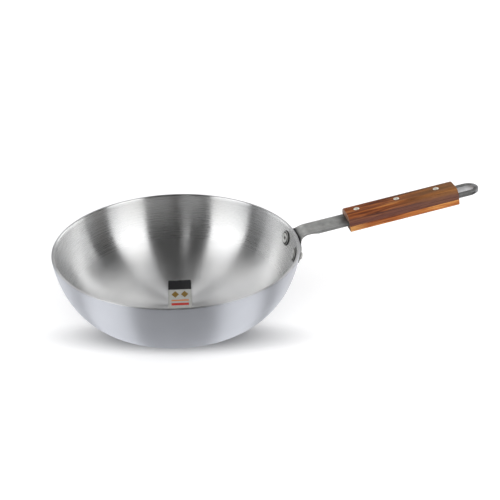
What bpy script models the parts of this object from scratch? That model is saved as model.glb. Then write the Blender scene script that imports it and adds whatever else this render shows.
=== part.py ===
"""Deep frying pan: a spun aluminium bowl, a stamped steel handle riveted to its wall, and a wooden grip.

The origin is the centre of the flat underside, +Z is up and the handle points along +X. Lengths are in metres.
The handle has its own frame: its origin lies on the strap's top face, straight above the outer edge of the lip,
its first axis runs out along the strap, its second across it and its third square up from it.
"""

import math
from functools import cache

import bmesh
import bpy
from mathutils import Matrix, Vector

# Fits: the gap that touching pieces keep, and the play of a rivet or pin in its hole
FIT = 0.0003
HOLE_PLAY = 0.0003

# Mesh: how near two points are one point, and the shortest edge kept where cuts cross in the handle's blank
SAME_POINT = 1e-6
SHORTEST_EDGE = 0.00005

# Bowl
RIM_RADIUS = 0.130
BOWL_DEPTH = 0.077
BASE_RADIUS = 0.058
BOWL_WALL = 0.003
RIM_LEAN = math.radians(6.5)
HEEL_FULLNESS = 0.597
WALL_FULLNESS = 0.575
BOWL_SEGMENTS = 80
WALL_STEPS = 12

# Handle strap and its foot
SHEET = 0.0016
STRAP_WIDTH = 0.0235
STRAP_EDGE = 0.003
STRAP_RISE = math.radians(10.2)
STRAP_LIFT = 0.004
BEND_RADIUS = 0.013
FOOT_HEIGHT = 0.0162
FOOT_CORNER = 0.35 * FOOT_HEIGHT
FOOT_SHOULDER = 0.0016
REAR_FILLET = 0.0125
FRONT_FILLET = 0.007
WING_STRAIGHT = 0.0012
FOOT_WIDTH = STRAP_WIDTH + 2 * (REAR_FILLET + WING_STRAIGHT + FOOT_CORNER)
EDGE_START = 0.014
EDGE_RAMP = 0.0042
LOOP_REACH = 0.0265
SLOT_WIDTH = 0.011
SLOT_LENGTH = 0.027
SLOT_END_WALL = 0.0045
SLOT_RIM = 0.006
SLOT_RIM_GAP = 0.0008
FOOT_ROWS = 4
FOOT_COLUMNS = 14
BEND_STEPS = 7
ARC_STEPS = 6

# Rivets through the wall and the foot
RIVET_SPACING = 0.0405
RIVET_EDGE = 0.0052
RIVET_SHANK = 0.006
RIVET_HEAD = 0.0146
RIVET_HEAD_HEIGHT = 0.0025
RIVET_DIMPLE = 0.0045
RIVET_DIMPLE_DEPTH = 0.0008
RIVET_TAIL = 0.0085
RIVET_TAIL_HEIGHT = 0.003
RIVET_SEGMENTS = 24
# Rounding of head and tail: shares of the radius and, from the crown down, of the height
HEAD_ROUNDING = ((0.72, 0.12), (0.92, 0.4), (1.0, 0.7))
TAIL_ROUNDING = ((1.0, 0.65), (0.85, 0.25), (0.5, 0.0))

# Wooden grip and its pins
GRIP_START = 0.0548
GRIP_LENGTH = 0.123
GRIP_CHEEK = 0.00275
GRIP_WIDTH = STRAP_WIDTH + 2 * GRIP_CHEEK
UPPER_HEIGHT = 0.0118
LOWER_HEIGHT = 0.0063
DOME_POWER = 3.0
DOME_STEPS = 14
GRIP_EDGE = 0.0007
PIN_DIAMETER = 0.0063
PIN_PROUD = 0.0004
PIN_ROUNDING = 0.7
PIN_NEAR_SETBACK = 0.0128
PIN_FAR_SETBACK = 0.0205
PIN_SEGMENTS = 20

# Label on the floor
LABEL_WIDTH = 0.0255
LABEL_LENGTH = 0.068
LABEL_THICKNESS = 0.0003
LABEL_OFFSET = (0.0035, 0.0205)
LABEL_TURN = math.radians(-6.5)

UP = Vector((0.0, 0.0, 1.0))
RIVET_SIDES = {"rear": 1, "front": -1}
PIN_NAMES = ("near", "middle", "far")


def clear_scene():
    """Remove every object that the opened file brings with it."""
    for thing in list(bpy.data.objects):
        bpy.data.objects.remove(thing, do_unlink=True)


def make_material(name, colour, roughness, metallic):
    """Return a Principled material of one colour and finish."""
    material = bpy.data.materials.new(name)
    material.use_nodes = True
    shader = material.node_tree.nodes["Principled BSDF"]
    shader.inputs["Base Color"].default_value = (*colour, 1.0)
    shader.inputs["Roughness"].default_value = roughness
    shader.inputs["Metallic"].default_value = metallic
    return material


def add_object(name, bm, material=None, place=None):
    """Turn a bmesh into a smooth-shaded object with sharp creases, placed by a matrix."""
    bmesh.ops.recalc_face_normals(bm, faces=bm.faces)
    mesh = bpy.data.meshes.new(name)
    bm.to_mesh(mesh)
    bm.free()
    mesh.shade_smooth()
    mesh.set_sharp_from_angle(angle=math.radians(35))
    thing = bpy.data.objects.new(name, mesh)
    bpy.context.scene.collection.objects.link(thing)
    if material:
        mesh.materials.append(material)
    if place:
        thing.matrix_world = place
    return thing


def add_cutter(name, bm, place=None):
    """Add a hidden object that only cuts or adds to another."""
    cutter = add_object(name, bm, None, place)
    cutter.hide_render = True
    cutter.display_type = "WIRE"
    return cutter


def apply_boolean(thing, cutter, operation):
    """Give an object a Boolean modifier with the exact solver."""
    boolean = thing.modifiers.new(cutter.name, "BOOLEAN")
    boolean.operation = operation
    boolean.solver = "EXACT"
    boolean.object = cutter


def revolve(outline, segments):
    """Spin an outline of (radius, height) points, open at the axis, round Z into a closed body."""
    bm = bmesh.new()
    points = [bm.verts.new((radius, 0.0, height)) for radius, height in outline]
    edges = [bm.edges.new(pair) for pair in zip(points, points[1:])]
    bmesh.ops.spin(
        bm,
        geom=points + edges,
        cent=(0.0, 0.0, 0.0),
        axis=UP,
        dvec=(0.0, 0.0, 0.0),
        angle=math.tau,
        steps=segments,
        use_merge=True,
    )
    bmesh.ops.remove_doubles(bm, verts=bm.verts, dist=SAME_POINT)
    return bm


def push_out(bm, faces, depth):
    """Extrude faces along Z and return the points that moved."""
    edges = {edge for face in faces for edge in face.edges}
    corners = {vert for face in faces for vert in face.verts}
    moved = bmesh.ops.extrude_face_region(bm, geom=list(faces) + list(edges) + list(corners))["geom"]
    verts = [item for item in moved if isinstance(item, bmesh.types.BMVert)]
    bmesh.ops.translate(bm, vec=UP * depth, verts=verts)
    return verts


def prism(outline, bottom, top):
    """Extrude a flat outline of (x, y) points between two heights."""
    bm = bmesh.new()
    face = bm.faces.new([bm.verts.new((x, y, bottom)) for x, y in outline])
    push_out(bm, [face], top - bottom)
    return bm


def arc(centre, radius, start, end, steps=ARC_STEPS):
    """Return points along a circular arc, both ends included, with angles in degrees."""
    angles = [math.radians(start + (end - start) * step / steps) for step in range(steps + 1)]
    return [(centre[0] + radius * math.cos(a), centre[1] + radius * math.sin(a)) for a in angles]


def wall_point(t):
    """Outer wall of the bowl as a Bezier curve, from the base edge (t = 0) to the lip (t = 1)."""
    base = Vector((BASE_RADIUS, 0.0))
    rim = Vector((RIM_RADIUS, BOWL_DEPTH))
    heel_pull = base + Vector((HEEL_FULLNESS * (RIM_RADIUS - BASE_RADIUS), 0.0))
    wall_pull = rim - WALL_FULLNESS * BOWL_DEPTH * Vector((math.tan(RIM_LEAN), 1.0))
    back = 1.0 - t
    return base * back**3 + heel_pull * (3 * back**2 * t) + wall_pull * (3 * back * t**2) + rim * t**3


def wall_normal(t):
    """Outward unit normal of the outer wall at t, in (radius, height)."""
    step = 1e-4
    along = wall_point(min(t + step, 1.0)) - wall_point(max(t - step, 0.0))
    return Vector((along.y, -along.x)).normalized()


def wall_at_height(height):
    """Find the wall's t at a height, by halving."""
    low, high = 0.0, 1.0
    for _ in range(40):
        middle = (low + high) / 2
        if wall_point(middle).y < height:
            low = middle
        else:
            high = middle
    return (low + high) / 2


def make_bowl(material):
    """Spun shell with an even wall, a flat floor and a flat cut lip."""
    steps = [step / WALL_STEPS for step in range(WALL_STEPS + 1)]
    outer = [wall_point(t) for t in steps]
    inner = [wall_point(t) - wall_normal(t) * BOWL_WALL for t in steps]
    inner[-1] = Vector((RIM_RADIUS - BOWL_WALL, BOWL_DEPTH))
    outline = [(0.0, 0.0)]
    outline += [tuple(point) for point in outer]
    outline += [tuple(point) for point in reversed(inner)]
    outline += [(0.0, BOWL_WALL)]
    return add_object("bowl", revolve(outline, BOWL_SEGMENTS), material)


def rivet_place(side):
    """Frame of a rivet: origin on the outer wall, its Z axis square out of the wall."""
    t = wall_at_height(foot_bottom() + RIVET_EDGE)
    radius, height = wall_point(t)
    slope = wall_normal(t)
    turn = math.asin(side * RIVET_SPACING / 2 / radius)
    outward = Vector((slope.x * math.cos(turn), slope.x * math.sin(turn), slope.y))
    place = outward.to_track_quat("Z", "Y").to_matrix().to_4x4()
    place.translation = (radius * math.cos(turn), radius * math.sin(turn), height)
    return place


def rivet_seat():
    """Distance inside the outer wall of the flat underside of a rivet's head, whose edge clears the round wall."""
    head = RIVET_HEAD / 2
    inside = wall_point(wall_at_height(foot_bottom() + RIVET_EDGE)).x - BOWL_WALL
    return BOWL_WALL + FIT + inside - math.sqrt(inside**2 - head**2)


def make_rivet(name, side, material):
    """Wide low head with a dimple inside the bowl, a shank, and a small formed tail outside."""
    head = RIVET_HEAD / 2
    shank = RIVET_SHANK / 2
    tail = RIVET_TAIL / 2
    dimple = RIVET_DIMPLE / 2
    seat = -rivet_seat()
    crown = seat - RIVET_HEAD_HEIGHT
    tail_seat = FIT + SHEET + FIT
    tail_top = tail_seat + RIVET_TAIL_HEIGHT
    outline = [(0.0, crown + RIVET_DIMPLE_DEPTH), (dimple / 2, crown + RIVET_DIMPLE_DEPTH), (dimple, crown)]
    outline += [(head * across, crown + RIVET_HEAD_HEIGHT * down) for across, down in HEAD_ROUNDING]
    outline += [(head, seat), (shank, seat), (shank, tail_seat), (tail, tail_seat)]
    outline += [(tail * across, tail_top - RIVET_TAIL_HEIGHT * down) for across, down in TAIL_ROUNDING]
    outline += [(0.0, tail_top)]
    return add_object(name, revolve(outline, RIVET_SEGMENTS), material, rivet_place(side))


def rivet_hole(name, side):
    """Cutter for a rivet's hole through the wall and the foot."""
    reach = 2 * (BOWL_WALL + SHEET)
    radius = RIVET_SHANK / 2 + HOLE_PLAY
    outline = [(0.0, -reach), (radius, -reach), (radius, reach), (0.0, reach)]
    return add_cutter(name, revolve(outline, RIVET_SEGMENTS), rivet_place(side))


def handle_frame():
    """Frame of the strap: along it, across it, and square up from its top face."""
    place = Matrix.Rotation(-STRAP_RISE, 4, "Y")
    place.translation = (RIM_RADIUS, 0.0, BOWL_DEPTH + STRAP_LIFT)
    return place


@cache
def bend_layout():
    """Where the bend begins on the wall, its centre, and the angles that it sweeps.

    The wall side of the foot runs up the wall at the fit gap, turns out over the bend and becomes the top
    face of the strap, so the bend's radius is that of the top face.
    """
    along = Vector((math.cos(STRAP_RISE), math.sin(STRAP_RISE)))
    above = Vector((-along.y, along.x))
    start_point = Vector((RIM_RADIUS, BOWL_DEPTH + STRAP_LIFT))
    low, high = 0.0, 1.0
    for _ in range(40):
        t = (low + high) / 2
        foot = wall_point(t) + wall_normal(t) * FIT
        centre = foot + wall_normal(t) * BEND_RADIUS
        reach = (start_point - centre).dot(above)
        if reach > BEND_RADIUS:
            low = t
        else:
            high = t
    sweep_start = math.atan2(-wall_normal(t).y, -wall_normal(t).x) % math.tau
    sweep_end = math.atan2(above.y, above.x)
    return t, centre, sweep_start, sweep_end


def foot_bottom():
    """Height of the lower end of the foot's wings."""
    return wall_point(bend_layout()[0]).y + FOOT_SHOULDER - FOOT_HEIGHT


def strap_section(v, depth):
    """Point of the strap's middle section, as (x, z), at length v from the bend's start and a depth in the sheet.

    Negative v lies on the foot, down the wall. Depth 0 is the wall side and the top face.
    """
    t_bend, centre, sweep_start, sweep_end = bend_layout()
    bend_length = BEND_RADIUS * (sweep_start - sweep_end)
    if v <= 0.0:
        t = wall_at_height(wall_point(t_bend).y + v)
        return wall_point(t) + wall_normal(t) * (FIT + depth)
    if v <= bend_length:
        angle = sweep_start - v / BEND_RADIUS
        ray = Vector((math.cos(angle), math.sin(angle)))
        return centre + ray * (BEND_RADIUS - depth)
    along = Vector((math.cos(STRAP_RISE), math.sin(STRAP_RISE)))
    above = Vector((-along.y, along.x))
    return centre + above * (BEND_RADIUS - depth) + along * (v - bend_length)


def strap_length_at(s):
    """Length v along the sheet at which the strap reaches the place s of the handle frame."""
    _, centre, sweep_start, sweep_end = bend_layout()
    bend_length = BEND_RADIUS * (sweep_start - sweep_end)
    along = Vector((math.cos(STRAP_RISE), math.sin(STRAP_RISE)))
    start_point = Vector((RIM_RADIUS, BOWL_DEPTH + STRAP_LIFT))
    return s - (centre - start_point).dot(along) + bend_length


def strap_end():
    """Place of the strap's tip along the handle frame."""
    return GRIP_START + GRIP_LENGTH + LOOP_REACH


def blank_side(fillet):
    """One long side of the flat handle blank as (v, y), from the foot's lower end to the start of the round tip."""
    bottom = FOOT_SHOULDER - FOOT_HEIGHT
    half_foot = FOOT_WIDTH / 2
    half_strap = STRAP_WIDTH / 2
    side = arc((bottom + FOOT_CORNER, half_foot - FOOT_CORNER), FOOT_CORNER, 180, 90)
    side += arc((FOOT_SHOULDER - FOOT_CORNER, half_foot - FOOT_CORNER), FOOT_CORNER, 90, 0)
    return side + arc((FOOT_SHOULDER + fillet, half_strap + fillet), fillet, 180, 270)


def blank_outline():
    """Flat outline of the handle blank: the foot with its wings, unlike fillets at the root, and the round tip."""
    half_strap = STRAP_WIDTH / 2
    tip = strap_length_at(strap_end()) - half_strap
    rear = blank_side(REAR_FILLET)
    front = [(v, -y) for v, y in reversed(blank_side(FRONT_FILLET))]
    return rear + arc((tip, 0.0), half_strap, 90, -90, 4 * ARC_STEPS) + front


def make_handle(material):
    """Cut the flat blank, thicken it, turn its long edges down, then bend it and lay its foot on the wall."""
    _, _, sweep_start, sweep_end = bend_layout()
    bend_length = BEND_RADIUS * (sweep_start - sweep_end)
    bottom = FOOT_SHOULDER - FOOT_HEIGHT
    edge_start = strap_length_at(EDGE_START)
    bm = bmesh.new()
    border = bm.faces.layers.int.new("border")
    blank = bm.faces.new([bm.verts.new((v, y, 0.0)) for v, y in blank_outline()])
    bm.normal_update()
    inset = bmesh.ops.inset_region(bm, faces=[blank], thickness=SHEET, use_boundary=True, use_even_offset=True)
    for face in inset["faces"]:
        face[border] = 1

    rows = [bottom * row / FOOT_ROWS for row in range(FOOT_ROWS)]
    rows += [bend_length * step / BEND_STEPS for step in range(1, BEND_STEPS + 1)]
    rows += [edge_start]
    for row in rows:
        geometry = bm.verts[:] + bm.edges[:] + bm.faces[:]
        bmesh.ops.bisect_plane(bm, geom=geometry, dist=SAME_POINT, plane_co=(row, 0, 0), plane_no=(1, 0, 0))
    for column in range(1, FOOT_COLUMNS):
        across = FOOT_WIDTH * (column / FOOT_COLUMNS - 0.5)
        near = [face for face in bm.faces if face.calc_center_median().x < bend_length]
        edges = {edge for face in near for edge in face.edges}
        verts = {vert for face in near for vert in face.verts}
        geometry = list(verts) + list(edges) + near
        bmesh.ops.bisect_plane(bm, geom=geometry, dist=SAME_POINT, plane_co=(0, across, 0), plane_no=(0, 1, 0))

    bmesh.ops.remove_doubles(bm, verts=bm.verts, dist=SHORTEST_EDGE)
    push_out(bm, bm.faces[:], SHEET)
    turned = [
        face
        for face in bm.faces
        if face[border]
        and face.calc_center_median().x > edge_start
        and min(vert.co.z for vert in face.verts) > SHEET / 2
    ]
    for vert in push_out(bm, turned, STRAP_EDGE - SHEET):
        if vert.co.x < edge_start + SAME_POINT:
            vert.co.x += EDGE_RAMP
    bm.faces.layers.int.remove(border)

    for vert in bm.verts:
        v, y, depth = vert.co
        section = strap_section(v, depth)
        wrap = min(1.0, max(0.0, 2.0 - v / bend_length))
        sag = section.x - math.sqrt(section.x**2 - y**2)
        vert.co = (section.x - wrap * sag, y, section.y)
    bmesh.ops.triangulate(bm, faces=bm.faces[:])
    return add_object("handle", bm, material)


def slot_outline(margin):
    """Outline of the loop's hanging slot, as (s, y) in the handle frame, widened all round by a margin."""
    radius = SLOT_WIDTH / 2
    far = strap_end() - SLOT_END_WALL - radius
    near = far - SLOT_LENGTH + SLOT_WIDTH
    return arc((far, 0.0), radius + margin, -90, 90) + arc((near, 0.0), radius + margin, 90, 270)


def slot_rim_outline():
    """Outline of the deep part of the slot's rim, as (s, y), which starts just past the end of the grip."""
    radius = SLOT_WIDTH / 2 + SHEET
    far = strap_end() - SLOT_END_WALL - SLOT_WIDTH / 2
    near = GRIP_START + GRIP_LENGTH + SLOT_RIM_GAP
    return arc((far, 0.0), radius, -90, 90) + [(near, radius), (near, -radius)]


def dome_outline():
    """Upper half of the grip's end view as (y, height): a squared dome over a flat underside."""
    half = GRIP_WIDTH / 2
    power = 2 / DOME_POWER
    outline = []
    for step in range(DOME_STEPS + 1):
        angle = math.pi * step / DOME_STEPS
        across = math.copysign(abs(math.cos(angle)) ** power, math.cos(angle))
        outline.append((half * across, UPPER_HEIGHT * math.sin(angle) ** power))
    return outline


def grip_block(outline, start, end, eased=0.0):
    """Extrude an end view of (y, height) points along the handle frame, with both end outlines eased."""
    bm = prism(outline, 0.0, end - start - 2 * eased)
    for vert in bm.verts:
        y, height, along = vert.co
        vert.co = (start + eased + along, y, height)
    if eased:
        bm.normal_update()
        caps = [face for face in bm.faces if abs(face.normal.x) > 0.9]
        for cap in caps:
            middle = (start + end) / 2
            outward = math.copysign(eased, cap.calc_center_median().x - middle)
            bmesh.ops.inset_region(bm, faces=[cap], thickness=eased, use_even_offset=True)
            bmesh.ops.translate(bm, vec=(outward, 0.0, 0.0), verts=cap.verts)
    return bm


def make_upper_scale(material):
    """Domed wooden half with a channel for the strap in its underside."""
    start, end = GRIP_START, GRIP_START + GRIP_LENGTH
    underside = -STRAP_EDGE
    outline = [(y, underside + height) for y, height in dome_outline()]
    block = grip_block(outline, start, end, GRIP_EDGE)
    scale = add_object("grip_upper_scale", block, material, handle_frame())
    half = STRAP_WIDTH / 2 + FIT
    channel = [(half, underside - FIT), (half, FIT), (-half, FIT), (-half, underside - FIT)]
    through = grip_block(channel, start - STRAP_EDGE, end + STRAP_EDGE)
    cutter = add_cutter("strap_channel", through, handle_frame())
    apply_boolean(scale, cutter, "DIFFERENCE")
    return scale


def make_lower_scale(material):
    """Flat wooden half under the strap."""
    start, end = GRIP_START, GRIP_START + GRIP_LENGTH
    top = -STRAP_EDGE - FIT
    half = GRIP_WIDTH / 2
    outline = [(half, top), (-half, top), (-half, top - LOWER_HEIGHT), (half, top - LOWER_HEIGHT)]
    block = grip_block(outline, start, end, GRIP_EDGE)
    return add_object("grip_lower_scale", block, material, handle_frame())


def pin_places():
    """Places of the grip's pins along the handle frame, evenly spaced between the two setbacks."""
    near = GRIP_START + PIN_NEAR_SETBACK
    far = GRIP_START + GRIP_LENGTH - PIN_FAR_SETBACK
    gaps = len(PIN_NAMES) - 1
    return [near + (far - near) * index / gaps for index in range(gaps + 1)]


def make_pin(name, place, material):
    """Plain pin through both halves, with low domed ends."""
    bottom = -STRAP_EDGE - FIT - LOWER_HEIGHT
    top = UPPER_HEIGHT - STRAP_EDGE
    radius = PIN_DIAMETER / 2
    outline = [
        (0.0, bottom - PIN_PROUD),
        (radius * PIN_ROUNDING, bottom - PIN_PROUD * PIN_ROUNDING),
        (radius, bottom),
        (radius, top),
        (radius * PIN_ROUNDING, top + PIN_PROUD * PIN_ROUNDING),
        (0.0, top + PIN_PROUD),
    ]
    frame = handle_frame() @ Matrix.Translation((place, 0.0, 0.0))
    return add_object(name, revolve(outline, PIN_SEGMENTS), material, frame)


def pin_holes():
    """Cutter for the pin holes through both halves and the strap."""
    holes = bmesh.new()
    reach = UPPER_HEIGHT + LOWER_HEIGHT + STRAP_EDGE
    radius = PIN_DIAMETER / 2 + HOLE_PLAY
    for place in pin_places():
        hole = revolve([(0.0, -reach), (radius, -reach), (radius, reach), (0.0, reach)], PIN_SEGMENTS)
        bmesh.ops.translate(hole, vec=(place, 0.0, 0.0), verts=hole.verts)
        mesh = bpy.data.meshes.new("pin_hole")
        hole.to_mesh(mesh)
        hole.free()
        holes.from_mesh(mesh)
        bpy.data.meshes.remove(mesh)
    return add_cutter("pin_holes", holes, handle_frame())


def make_label(material):
    """Thin label lying on the flat floor."""
    half_width = LABEL_WIDTH / 2
    half_length = LABEL_LENGTH / 2
    corners = [
        (-half_width, -half_length),
        (half_width, -half_length),
        (half_width, half_length),
        (-half_width, half_length),
    ]
    place = Matrix.Rotation(LABEL_TURN, 4, "Z")
    place.translation = (*LABEL_OFFSET, BOWL_WALL + FIT)
    return add_object("floor_label", prism(corners, 0.0, LABEL_THICKNESS), material, place)


def main():
    clear_scene()
    aluminium = make_material("spun_aluminium", (0.72, 0.73, 0.74), 0.32, 1.0)
    rivet_metal = make_material("rivet_aluminium", (0.66, 0.66, 0.66), 0.35, 1.0)
    steel = make_material("strap_steel", (0.34, 0.34, 0.33), 0.45, 1.0)
    dark_wood = make_material("varnished_wood", (0.23, 0.085, 0.045), 0.35, 0.0)
    light_wood = make_material("orange_wood", (0.48, 0.19, 0.07), 0.4, 0.0)
    paper = make_material("label_paper", (0.62, 0.6, 0.56), 0.5, 0.0)

    bowl = make_bowl(aluminium)
    handle = make_handle(steel)
    for side_name, side in RIVET_SIDES.items():
        hole = rivet_hole("hole_" + side_name, side)
        apply_boolean(bowl, hole, "DIFFERENCE")
        apply_boolean(handle, hole, "DIFFERENCE")
        make_rivet("bowl_rivet_" + side_name, side, rivet_metal)

    flange = add_cutter("slot_flange", prism(slot_outline(SHEET), -STRAP_EDGE, -SHEET / 2), handle_frame())
    apply_boolean(handle, flange, "UNION")
    rim = add_cutter("slot_rim", prism(slot_rim_outline(), -SLOT_RIM, -SHEET / 2), handle_frame())
    apply_boolean(handle, rim, "UNION")
    slot = add_cutter("slot", prism(slot_outline(0.0), -2 * SLOT_RIM, STRAP_EDGE), handle_frame())
    apply_boolean(handle, slot, "DIFFERENCE")

    upper = make_upper_scale(dark_wood)
    lower = make_lower_scale(light_wood)
    holes = pin_holes()
    for pierced in (handle, upper, lower):
        apply_boolean(pierced, holes, "DIFFERENCE")
    for name, place in zip(PIN_NAMES, pin_places()):
        make_pin("grip_pin_" + name, place, rivet_metal)

    make_label(paper)


main()
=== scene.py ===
# %% [markdown]
# # A deep frying pan with a wooden grip
# The pan is a spun aluminium bowl, a pressed steel handle that is riveted to its wall, and a grip of two
# pieces of wood that three pins hold on the handle. A paper label lies on its floor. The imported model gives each
# piece its place and its size. Each piece is modelled again here with finer curves, in the order in which a
# workshop would make it, and then gets the finish of the real one.

import math

import bpy
from mathutils import Matrix, Vector


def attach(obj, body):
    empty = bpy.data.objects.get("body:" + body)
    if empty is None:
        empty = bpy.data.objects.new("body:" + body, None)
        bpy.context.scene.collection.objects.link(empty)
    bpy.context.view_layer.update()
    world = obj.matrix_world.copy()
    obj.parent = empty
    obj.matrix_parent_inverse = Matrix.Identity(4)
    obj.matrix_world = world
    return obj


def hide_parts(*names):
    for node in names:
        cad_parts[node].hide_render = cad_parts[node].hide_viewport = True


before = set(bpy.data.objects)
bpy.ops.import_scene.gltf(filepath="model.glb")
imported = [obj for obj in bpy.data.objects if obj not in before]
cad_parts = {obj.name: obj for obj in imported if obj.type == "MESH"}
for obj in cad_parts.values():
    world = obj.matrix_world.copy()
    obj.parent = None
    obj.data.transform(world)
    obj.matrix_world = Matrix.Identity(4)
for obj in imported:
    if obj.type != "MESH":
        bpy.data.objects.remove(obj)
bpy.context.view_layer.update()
print("nodes:", ", ".join(sorted(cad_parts)))

# %% [markdown]
# ## Camera
# The photo was taken from the front and a little above, with a long lens. A camera could be placed by eye. Its
# place and lens were worked out from the ellipse of the lip instead, so the pan can be compared with the photo
# point by point. The Standard view transform keeps colours as they are written.

# %% The camera
CAMERA_TURN = math.radians(-11.1)
camera_data = bpy.data.cameras.new("camera")
camera_data.sensor_width = 36.0
camera_data.lens = 68.69
camera = bpy.data.objects.new("camera", camera_data)
camera.location = (-0.09562, -0.88738, 0.54163)
camera.rotation_euler = (math.radians(62.117), 0.0, CAMERA_TURN)
bpy.context.scene.collection.objects.link(camera)
bpy.context.scene.camera = camera
bpy.context.scene.view_settings.view_transform = "Standard"
print("camera at", tuple(camera.location), "with a", camera_data.lens, "mm lens")

# %% [markdown]
# ## Helpers for modelling
# An operator acts on what is selected, so each step first clears the selection and then picks its own faces
# or edges by their place. By hand, a click does that. Here a small test does, which still finds the right faces
# when a size changes. These helpers are used for every piece.


# %% Helpers for selecting
def deselect_all():
    """Leave edit mode and select nothing."""
    if bpy.context.mode != "OBJECT":
        bpy.ops.object.mode_set(mode="OBJECT")
    bpy.ops.object.select_all(action="DESELECT")


def activate(thing):
    """Select one object alone and make it the active one."""
    deselect_all()
    thing.select_set(True)
    bpy.context.view_layer.objects.active = thing


def pick(thing, kind, test):
    """In edit mode, select just the vertices, edges or faces whose middle passes the test."""
    bpy.ops.object.mode_set(mode="EDIT")
    bpy.ops.mesh.select_mode(type=kind)
    bpy.ops.mesh.select_all(action="DESELECT")
    bpy.ops.object.mode_set(mode="OBJECT")
    mesh = thing.data
    if kind == "VERT":
        found = [vert for vert in mesh.vertices if test(vert.co)]
    elif kind == "EDGE":
        ends = [[mesh.vertices[i].co for i in edge.vertices] for edge in mesh.edges]
        found = [edge for edge, (a, b) in zip(mesh.edges, ends) if test(a, b)]
    else:
        found = [face for face in mesh.polygons if test(face.center, face.normal)]
    for part in found:
        part.select = True
    bpy.ops.object.mode_set(mode="EDIT")
    return len(found)


# %% Helpers for modifiers and places
def apply_modifier(thing, kind, **settings):
    """Add a modifier, set it and apply it."""
    activate(thing)
    modifier = thing.modifiers.new(kind.lower(), kind)
    for name, value in settings.items():
        setattr(modifier, name, value)
    bpy.ops.object.modifier_apply(modifier=modifier.name)


def boolean(thing, other, operation):
    """Cut another object out of thing, or join it on, and remove the other one."""
    apply_modifier(thing, "BOOLEAN", object=other, operation=operation, solver="EXACT")
    bpy.data.objects.remove(other)


def place_in_mesh(thing, matrix):
    """Move a piece to its place and write the place into its mesh."""
    thing.matrix_world = matrix
    activate(thing)
    bpy.ops.object.transform_apply(location=True, rotation=True, scale=True)


# %% A helper that finishes a piece
def finish_piece(thing, node, angle):
    """Smooth the piece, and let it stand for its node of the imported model."""
    activate(thing)
    bpy.ops.object.mode_set(mode="EDIT")
    bpy.ops.mesh.select_all(action="SELECT")
    bpy.ops.mesh.normals_make_consistent(inside=False)
    bpy.ops.object.mode_set(mode="OBJECT")
    bpy.ops.object.shade_smooth_by_angle(angle=math.radians(angle))
    thing.data.materials.clear()
    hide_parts(node)
    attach(thing, "root")
    print(f"{thing.name}: {len(thing.data.polygons)} faces")


# %% [markdown]
# ## Turning on the lathe
# The bowl, the rivets and the pins are all round about an axis. A Screw modifier or Spin could turn their
# outline. Here a ring is extruded from point to point of the outline instead, because each step then shows
# what a hand would do: extrude, scale, lift. Small turned pieces get painted shade in their hollows, so a second
# helper stores how dark each ring is painted, and the finish reads that later. A third one copies a piece
# that is needed more than once.


# %% A lathe made of one ring
def lathe(name, outline, segments):
    """Extrude a ring along an outline of (radius, height) points and close both its ends at the axis."""
    radius, height = outline[0]
    deselect_all()
    bpy.ops.mesh.primitive_circle_add(vertices=segments, radius=radius, location=(0.0, 0.0, height))
    thing = bpy.context.object
    thing.name = name
    bpy.ops.object.transform_apply(location=True)
    bpy.ops.object.mode_set(mode="EDIT")
    bpy.ops.mesh.select_all(action="SELECT")
    for next_radius, next_height in outline[1:]:
        bpy.ops.mesh.extrude_edges_move()
        scale = next_radius / radius
        bpy.ops.transform.resize(value=(scale, scale, 1.0), center_override=(0.0, 0.0, height))
        bpy.ops.transform.translate(value=(0.0, 0.0, next_height - height))
        radius, height = next_radius, next_height
    bpy.ops.mesh.extrude_edges_move()
    bpy.ops.mesh.merge(type="CENTER")
    bpy.ops.mesh.select_all(action="DESELECT")
    bpy.ops.object.mode_set(mode="OBJECT")
    for vert in thing.data.vertices[:segments]:
        vert.select = True
    bpy.ops.object.mode_set(mode="EDIT")
    bpy.ops.mesh.extrude_edges_move()
    bpy.ops.mesh.merge(type="CENTER")
    bpy.ops.object.mode_set(mode="OBJECT")
    print(f"{name}: {len(outline)} rings of {segments} points")
    return thing


def mark_painted_shade(thing, painted_dark):
    """Store how much painted shade lies on each ring of a turned piece, by its radius and height."""
    layer = thing.data.attributes.new("painted_shade", "FLOAT", "POINT")
    for vert, spot in zip(thing.data.vertices, layer.data):
        spot.value = painted_dark(vert.co.xy.length, vert.co.z)


def copy_piece(thing, name):
    """A copy of a piece, with a mesh of its own."""
    twin = thing.copy()
    twin.data = thing.data.copy()
    twin.name = name
    bpy.context.scene.collection.objects.link(twin)
    return twin


# %% [markdown]
# ## The bowl
# The bowl is one disc of aluminium that was spun over a form: a flat floor, a round heel, and a wall that
# rises more and more steeply up to a plain cut lip. A circle's arc could stand for the wall, but the photo's
# outline is fuller at the heel. So one Bezier curve gives the outside of the wall, and the inside keeps an even
# distance from it. The lip's two corners are eased with a small bevel, because the sharp edge of a cut sheet is
# always broken before the pan is sold.

# %% The wall's curve
RIM_RADIUS = 0.130
BOWL_DEPTH = 0.077
BASE_RADIUS = 0.058
BOWL_WALL = 0.003
RIM_LEAN = math.radians(6.5)
HEEL_FULLNESS = 0.597
WALL_FULLNESS = 0.575
FIT = 0.0003
WALL_STEPS = 30


def wall_point(t):
    """Outside of the wall as (radius, height), from the base edge (t = 0) to the lip (t = 1)."""
    base = Vector((BASE_RADIUS, 0.0))
    rim = Vector((RIM_RADIUS, BOWL_DEPTH))
    heel_pull = base + Vector((HEEL_FULLNESS * (RIM_RADIUS - BASE_RADIUS), 0.0))
    wall_pull = rim - WALL_FULLNESS * BOWL_DEPTH * Vector((math.tan(RIM_LEAN), 1.0))
    back = 1.0 - t
    return base * back**3 + heel_pull * (3 * back**2 * t) + wall_pull * (3 * back * t**2) + rim * t**3


def wall_normal(t):
    """Outward direction of the wall at t."""
    step = 1e-4
    along = wall_point(min(t + step, 1.0)) - wall_point(max(t - step, 0.0))
    return Vector((along.y, -along.x)).normalized()


print("half way up the curve, radius and height:", [round(size, 4) for size in wall_point(0.5)])

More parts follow.
